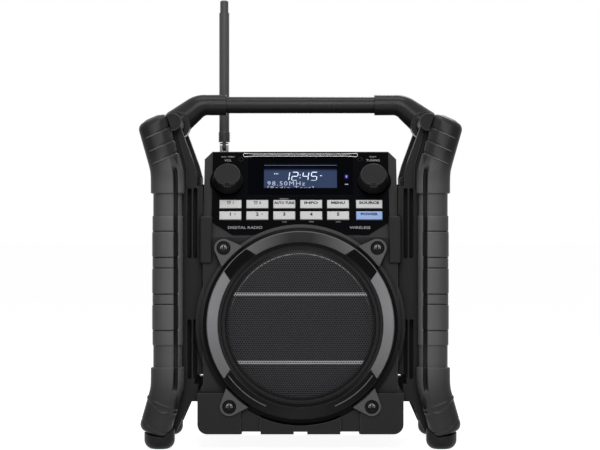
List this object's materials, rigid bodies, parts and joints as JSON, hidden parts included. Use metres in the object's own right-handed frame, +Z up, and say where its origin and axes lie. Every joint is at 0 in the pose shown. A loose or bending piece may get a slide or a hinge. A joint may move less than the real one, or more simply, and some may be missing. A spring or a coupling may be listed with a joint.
{
  "type": "jobsite radio",
  "caption": "rugged jobsite radio in a moulded roll cage, with a round speaker, a leaning control panel with keys and knobs, a carry handle and a folding antenna",
  "frame": {"origin": "middle of the footprint, on the plane that the four rubber feet stand on", "axes": "+X to the right as seen from the front, along the handle tube; +Y from the speaker face towards the battery door, so the front faces -Y; +Z up, from the feet to the tip of the raised antenna"},
  "size_m": [0.3104, 0.23, 0.4436],
  "materials": {
    "housing": "moulded cabinet plastic, near black, fine grain",
    "fascia": "gloss black panel",
    "window": "clear display window over a dark blue display",
    "display": "backlit display",
    "bright": "bright plated trim and fork",
    "bumper_rubber": "soft rubber, matt charcoal",
    "guard_rubber": "ribbed soft rubber, charcoal",
    "foot_rubber": "hard black rubber",
    "cage": "moulded roll cage, charcoal",
    "frame": "ribbed glass-filled side frame, near black",
    "handle_rubber": "matt black rubber",
    "bezel": "bezel plastic, dark grey satin",
    "satin_grey": "satin grey painted arcs",
    "grille_metal": "perforated steel, black paint",
    "screw_steel": "blackened cross-head screws",
    "speaker_paper": "black paper cone",
    "speaker_steel": "black pressed steel",
    "magnet": "ferrite and zinc-plated back plate",
    "key_white": "off-white key caps",
    "key_blue": "light blue key cap",
    "knob": "soft-touch dark grey",
    "shaft_steel": "turned steel",
    "mast_rubber": "flexible black antenna rubber",
    "board": "green solder-masked circuit board",
    "cell_metal": "plain grey cell jackets",
    "contact_steel": "nickel-plated springs"
  },
  "bodies": {
    "cabinet": {"front_housing": "housing", "rear_housing": "housing", "battery_tray": "housing", "socket_panel": "housing", "control_fascia": "fascia", "display_window": "window", "display_module": "display", "display_trim": "bright", "bottom_bumper": "bumper_rubber", "corner_bumpers": "bumper_rubber", "post_guards": "guard_rubber", "rubber_feet": "foot_rubber", "front_right_post": "cage", "front_left_post": "cage", "rear_right_post": "cage", "rear_left_post": "cage", "right_side_frame": "frame", "left_side_frame": "frame", "right_handle_elbow": "handle_rubber", "left_handle_elbow": "handle_rubber", "handle_tube": "handle_rubber", "speaker_bezel": "bezel", "bezel_arcs": "satin_grey", "speaker_grille": "grille_metal", "bezel_screws": "screw_steel", "case_screws": "screw_steel", "speaker_cone": "speaker_paper", "dust_cap": "speaker_paper", "speaker_surround": "speaker_paper", "speaker_basket": "speaker_steel", "speaker_magnet": "magnet", "encoders": "shaft_steel", "keypad_board": "board", "main_board": "board", "battery_cells": "cell_metal", "battery_contacts": "contact_steel"},
    "volume_dial": {"volume_knob": "knob", "volume_shaft": "shaft_steel"},
    "tuning_stem": {"tuning_shaft": "shaft_steel"},
    "tuning_dial": {"tuning_knob": "knob"},
    "antenna_turret": {"antenna_base": "mast_rubber", "antenna_fork": "bright", "antenna_pin": "bright"},
    "antenna_rod": {"antenna_mast": "mast_rubber"},
    "door": {"battery_door": "housing"},
    "door_latch": {"battery_latch": "housing"},
    "flap": {"socket_flap": "bumper_rubber"},
    "upper_key_1_cap": {"upper_key_1": "key_white"},
    "upper_key_2_cap": {"upper_key_2": "key_white"},
    "upper_key_3_cap": {"upper_key_3": "key_white"},
    "upper_key_4_cap": {"upper_key_4": "key_white"},
    "upper_key_5_cap": {"upper_key_5": "key_white"},
    "upper_key_6_cap": {"upper_key_6": "key_white"},
    "lower_key_1_cap": {"lower_key_1": "key_white"},
    "lower_key_2_cap": {"lower_key_2": "key_white"},
    "lower_key_3_cap": {"lower_key_3": "key_white"},
    "lower_key_4_cap": {"lower_key_4": "key_white"},
    "lower_key_5_cap": {"lower_key_5": "key_white"},
    "power_key_cap": {"power_key": "key_blue"}
  },
  "joints": [
    {"name": "volume_turn", "type": "hinge", "parent": "cabinet", "child": "volume_dial", "pos_m": [-0.0706, -0.06172, 0.25626], "axis": [0, -0.848, 0.5299], "continuous": true},
    {"name": "tuning_push", "type": "slide", "parent": "cabinet", "child": "tuning_stem", "axis": [0, 0.848, -0.5299], "range_m": [0, 0.0008], "stiffness_N_per_m": 600, "springref_m": -0.0005},
    {"name": "tuning_turn", "type": "hinge", "parent": "tuning_stem", "child": "tuning_dial", "pos_m": [0.0706, -0.06172, 0.25626], "axis": [0, -0.848, 0.5299], "continuous": true},
    {"name": "antenna_swivel", "type": "hinge", "parent": "cabinet", "child": "antenna_turret", "pos_m": [-0.0778, 0.08, 0.286], "axis": [0, 0, 1], "range_deg": [-90, 0]},
    {"name": "antenna_tilt", "type": "hinge", "parent": "antenna_turret", "child": "antenna_rod", "pos_m": [-0.0778, 0.08, 0.2936], "axis": [-1, 0, 0], "range_deg": [0, 90]},
    {"name": "door_swing", "type": "hinge", "parent": "cabinet", "child": "door", "pos_m": [0, 0.099, 0.06], "axis": [-1, 0, 0], "range_deg": [0, 95]},
    {"name": "latch_slide", "type": "slide", "parent": "door", "child": "door_latch", "axis": [0, 0, -1], "range_m": [0, 0.008]},
    {"name": "flap_swing", "type": "hinge", "parent": "cabinet", "child": "flap", "pos_m": [0.048, 0.0982, 0.246], "axis": [1, 0, 0], "range_deg": [0, 110]},
    {"name": "upper_key_1_press", "type": "slide", "parent": "cabinet", "child": "upper_key_1_cap", "axis": [0, 0.848, -0.5299], "range_m": [0, 0.001], "stiffness_N_per_m": 150, "springref_m": -0.0005},
    {"name": "lower_key_1_press", "type": "slide", "parent": "cabinet", "child": "lower_key_1_cap", "axis": [0, 0.848, -0.5299], "range_m": [0, 0.001], "stiffness_N_per_m": 150, "springref_m": -0.0005},
    {"name": "upper_key_2_press", "type": "slide", "parent": "cabinet", "child": "upper_key_2_cap", "axis": [0, 0.848, -0.5299], "range_m": [0, 0.001], "stiffness_N_per_m": 150, "springref_m": -0.0005},
    {"name": "lower_key_2_press", "type": "slide", "parent": "cabinet", "child": "lower_key_2_cap", "axis": [0, 0.848, -0.5299], "range_m": [0, 0.001], "stiffness_N_per_m": 150, "springref_m": -0.0005},
    {"name": "upper_key_3_press", "type": "slide", "parent": "cabinet", "child": "upper_key_3_cap", "axis": [0, 0.848, -0.5299], "range_m": [0, 0.001], "stiffness_N_per_m": 150, "springref_m": -0.0005},
    {"name": "lower_key_3_press", "type": "slide", "parent": "cabinet", "child": "lower_key_3_cap", "axis": [0, 0.848, -0.5299], "range_m": [0, 0.001], "stiffness_N_per_m": 150, "springref_m": -0.0005},
    {"name": "upper_key_4_press", "type": "slide", "parent": "cabinet", "child": "upper_key_4_cap", "axis": [0, 0.848, -0.5299], "range_m": [0, 0.001], "stiffness_N_per_m": 150, "springref_m": -0.0005},
    {"name": "lower_key_4_press", "type": "slide", "parent": "cabinet", "child": "lower_key_4_cap", "axis": [0, 0.848, -0.5299], "range_m": [0, 0.001], "stiffness_N_per_m": 150, "springref_m": -0.0005},
    {"name": "upper_key_5_press", "type": "slide", "parent": "cabinet", "child": "upper_key_5_cap", "axis": [0, 0.848, -0.5299], "range_m": [0, 0.001], "stiffness_N_per_m": 150, "springref_m": -0.0005},
    {"name": "lower_key_5_press", "type": "slide", "parent": "cabinet", "child": "lower_key_5_cap", "axis": [0, 0.848, -0.5299], "range_m": [0, 0.001], "stiffness_N_per_m": 150, "springref_m": -0.0005},
    {"name": "upper_key_6_press", "type": "slide", "parent": "cabinet", "child": "upper_key_6_cap", "axis": [0, 0.848, -0.5299], "range_m": [0, 0.001], "stiffness_N_per_m": 150, "springref_m": -0.0005},
    {"name": "power_key_press", "type": "slide", "parent": "cabinet", "child": "power_key_cap", "axis": [0, 0.848, -0.5299], "range_m": [0, 0.001], "stiffness_N_per_m": 150, "springref_m": -0.0005}
  ]
}
